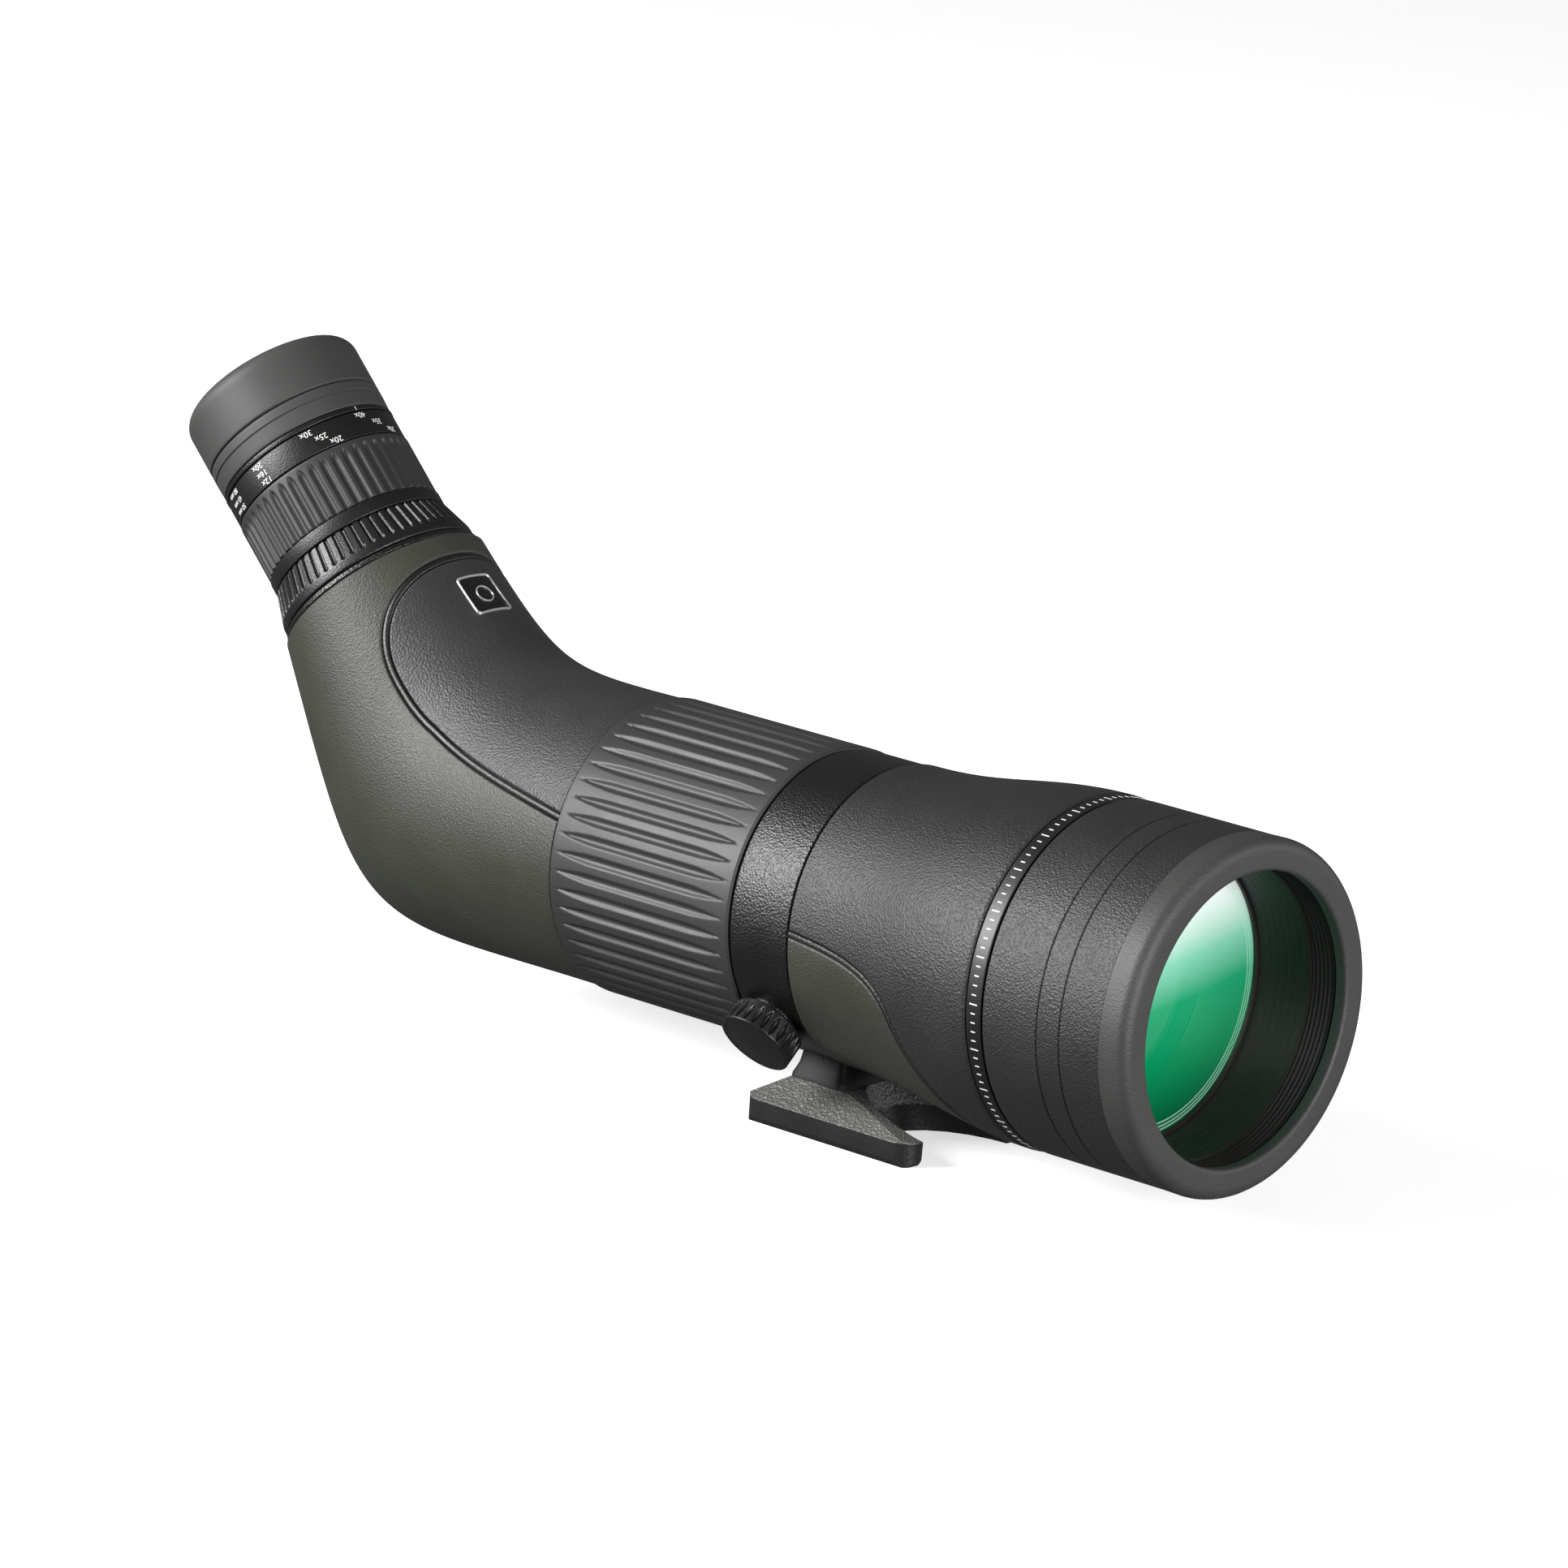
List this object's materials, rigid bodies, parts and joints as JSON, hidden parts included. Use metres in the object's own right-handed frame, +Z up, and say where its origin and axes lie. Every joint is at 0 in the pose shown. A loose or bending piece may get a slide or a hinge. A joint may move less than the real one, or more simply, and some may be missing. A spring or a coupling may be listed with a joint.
{
  "type": "spotting scope",
  "caption": "Angled spotting scope with a turning tripod collar and foot, focus ring, zoom eyepiece, twist-up eyecup and sliding sunshade.",
  "frame": {"origin": "middle of the flat bottom face of the tripod foot", "axes": "+X towards the target along the main optical axis, +Z up, +Y to the left of someone looking through the scope"},
  "size_m": [0.3291, 0.082, 0.1486],
  "materials": {
    "green_armor": "fine-grained matte rubber armour",
    "charcoal_armor": "grainy matte rubber armour",
    "grained_panel": "fine leather-grained soft panel",
    "grey_rubber": "smooth matte grip rubber",
    "black_plastic": "satin, lightly textured",
    "black_metal": "crinkle-textured black coating",
    "inner_black": "dead matt black anodised",
    "bare_metal": "machined",
    "steel": "blackened",
    "brass": "machined",
    "badge_metal": "bright rim round a dark blank field",
    "coated_glass": "green multi-coated lens"
  },
  "bodies": {
    "tripod_mount": {"tripod_collar": "black_metal", "collar_liner": "black_plastic", "tripod_foot": "black_metal", "foot_screw_left": "steel", "foot_screw_right": "steel", "thread_insert": "brass"},
    "clamp": {"clamp_pad": "black_plastic"},
    "knob": {"collar_knob": "grey_rubber", "knob_screw": "steel"},
    "scope_body": {"main_tube": "bare_metal", "prism_housing": "black_metal", "body_armor": "green_armor", "top_panel": "grained_panel", "badge_plate": "badge_metal", "prism_carrier": "bare_metal", "prism": "coated_glass", "prism_clamp": "bare_metal", "prism_clamp_screw_left": "steel", "prism_clamp_screw_right": "steel", "objective_tube": "black_metal", "objective_armor": "charcoal_armor", "objective_lower_cover": "green_armor", "marking_band": "black_plastic", "baffle_ring": "inner_black", "front_lens": "coated_glass", "rear_lens": "coated_glass", "lens_spacer": "inner_black", "lens_retainer": "inner_black", "filter_ring": "inner_black", "sunshade_friction_ring": "grey_rubber", "eyepiece_seat_ring": "black_metal", "eyepiece_barrel": "black_metal", "eyepiece_band": "black_plastic", "index_ring": "black_plastic", "field_stop": "inner_black", "eye_lens": "coated_glass", "eye_lens_retainer": "black_plastic"},
    "focus_ring": {"focus_grip": "grey_rubber", "focus_ring_core": "black_plastic"},
    "focus_carriage": {"focus_cell": "inner_black", "focus_lens": "coated_glass", "focus_pin": "steel"},
    "sunshade": {"sunshade_tube": "black_metal", "sunshade_armor": "charcoal_armor", "sunshade_lip": "grey_rubber"},
    "zoom_ring": {"zoom_ring_core": "black_plastic", "zoom_grip": "grey_rubber", "scale_ring": "black_plastic", "zoom_cam_tube": "brass", "zoom_drive_pin": "steel"},
    "zoom_front": {"zoom_front_cell": "inner_black", "zoom_front_lens": "coated_glass"},
    "zoom_rear": {"zoom_rear_cell": "inner_black", "zoom_rear_lens": "coated_glass"},
    "lock_ring": {"eyepiece_lock_ring": "black_plastic"},
    "eyecup_glide": {"eyecup_glide_ring": "black_plastic"},
    "eyecup": {"eyecup_sleeve": "black_plastic", "eyecup": "grey_rubber"}
  },
  "joints": [
    {"name": "collar_turn", "type": "hinge", "parent": "tripod_mount", "child": "scope_body", "pos_m": [0, 0, 0.05], "axis": [1, 0, 0], "continuous": true},
    {"name": "clamp_slide", "type": "slide", "parent": "tripod_mount", "child": "clamp", "axis": [0, -0.766, -0.6428], "range_m": [0, 0.00101]},
    {"name": "knob_turn", "type": "hinge", "parent": "clamp", "child": "knob", "pos_m": [-0.0115, 0, 0.05], "axis": [0, -0.766, -0.6428], "range_deg": [0, 360]},
    {"name": "focus_turn", "type": "hinge", "parent": "scope_body", "child": "focus_ring", "pos_m": [-0.0475, 0, 0.05], "axis": [1, 0, 0], "range_deg": [-270, 270]},
    {"name": "focus_slide", "type": "slide", "parent": "scope_body", "child": "focus_carriage", "axis": [1, 0, 0], "range_m": [-0.008, 0.008]},
    {"name": "sunshade_slide", "type": "slide", "parent": "scope_body", "child": "sunshade", "axis": [1, 0, 0], "range_m": [0, 0.028]},
    {"name": "zoom_turn", "type": "hinge", "parent": "scope_body", "child": "zoom_ring", "pos_m": [-0.126, 0, 0.05], "axis": [-0.7071, 0, 0.7071], "range_deg": [0, 150]},
    {"name": "zoom_front_slide", "type": "slide", "parent": "scope_body", "child": "zoom_front", "axis": [-0.7071, 0, 0.7071], "range_m": [0, 0.00801]},
    {"name": "zoom_rear_slide", "type": "slide", "parent": "scope_body", "child": "zoom_rear", "axis": [-0.7071, 0, 0.7071], "range_m": [-0.00501, 0]},
    {"name": "lock_ring_turn", "type": "hinge", "parent": "scope_body", "child": "lock_ring", "pos_m": [-0.126, 0, 0.05], "axis": [-0.7071, 0, 0.7071], "range_deg": [0, 45]},
    {"name": "eyecup_slide", "type": "slide", "parent": "scope_body", "child": "eyecup_glide", "axis": [-0.7071, 0, 0.7071], "range_m": [0, 0.00901]},
    {"name": "eyecup_turn", "type": "hinge", "parent": "eyecup_glide", "child": "eyecup", "pos_m": [-0.126, 0, 0.05], "axis": [-0.7071, 0, 0.7071], "range_deg": [0, 270]}
  ],
  "couplings": [
    {"joint": "clamp_slide", "follows": "knob_turn", "m_per_rad": 0.00015915},
    {"joint": "focus_slide", "follows": "focus_turn", "m_per_rad": 0.0016977},
    {"joint": "zoom_front_slide", "follows": "zoom_turn", "m_per_rad": 0.0030558},
    {"joint": "zoom_rear_slide", "follows": "zoom_turn", "m_per_rad": -0.0019099},
    {"joint": "eyecup_slide", "follows": "eyecup_turn", "m_per_rad": 0.0019099}
  ]
}
